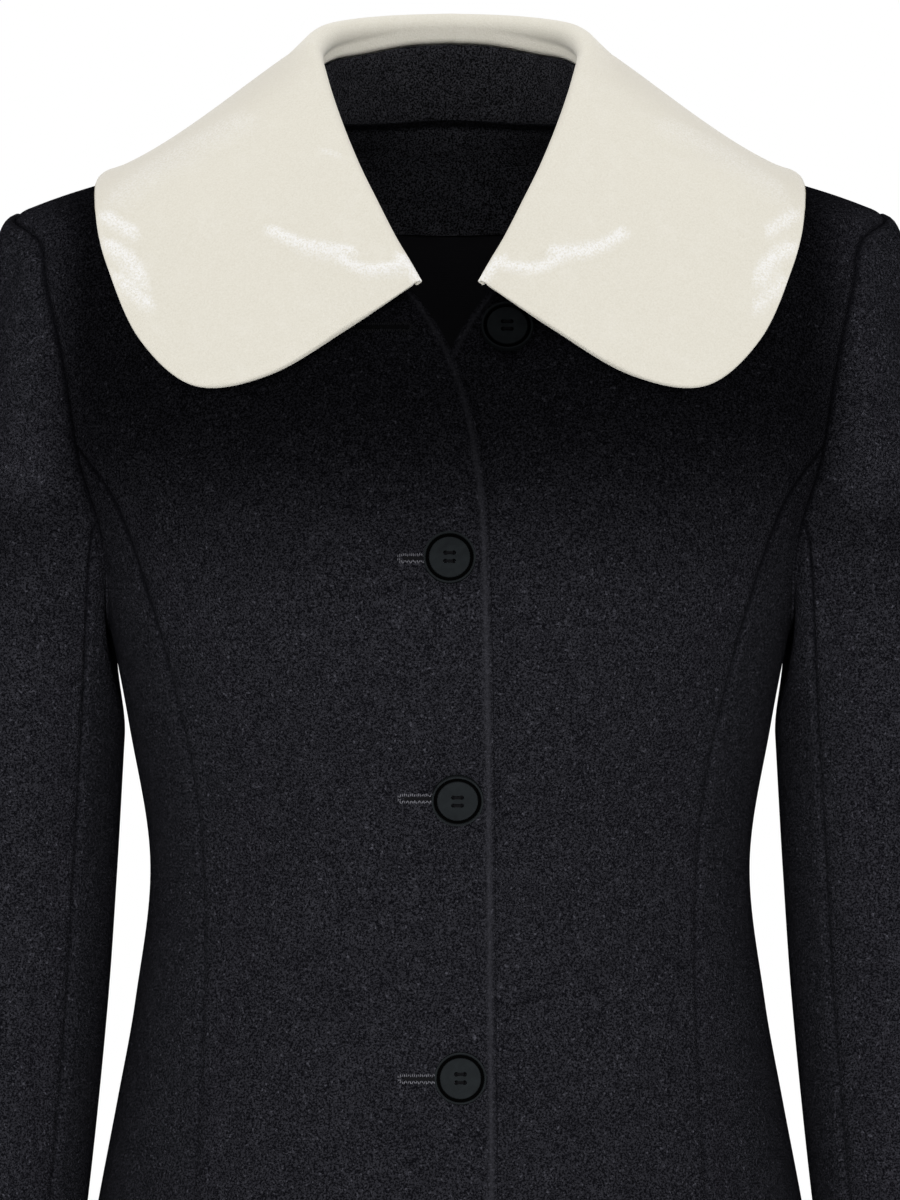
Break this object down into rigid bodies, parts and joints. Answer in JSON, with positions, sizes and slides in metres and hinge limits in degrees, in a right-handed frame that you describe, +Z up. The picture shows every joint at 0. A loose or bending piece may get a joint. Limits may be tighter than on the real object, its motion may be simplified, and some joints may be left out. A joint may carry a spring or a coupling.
{
  "type": "coat",
  "caption": "Fitted single-breasted wool coat with a wide turned-down velvet collar, armhole princess seams and set-in two-piece sleeves, hollow as worn.",
  "frame": {"origin": "midway between the two shoulder points, where the wearer's shoulders hold the coat", "axes": "+Z up, front faces -Y, +X to the wearer's left"},
  "size_m": [0.5282, 0.335, 0.9343],
  "materials": {
    "black_wool": "napped wool",
    "ivory_velvet": "short velvet pile",
    "black_lining": "smooth lining",
    "dark_button": "satin"
  },
  "bodies": {
    "root": {"front_right": "black_wool", "front_left": "black_wool", "side_front_right": "black_wool", "side_front_left": "black_wool", "side_back_right": "black_wool", "side_back_left": "black_wool", "back_right": "black_wool", "back_left": "black_wool", "sleeve_upper_right": "black_wool", "sleeve_under_right": "black_wool", "sleeve_upper_left": "black_wool", "sleeve_under_left": "black_wool", "collar_stand": "black_wool", "back_neck_facing": "black_wool", "collar": "ivory_velvet", "lining_back_right": "black_lining", "lining_back_left": "black_lining", "button_1": "dark_button", "button_2": "dark_button", "button_3": "dark_button", "button_4": "dark_button"}
  },
  "joints": []
}
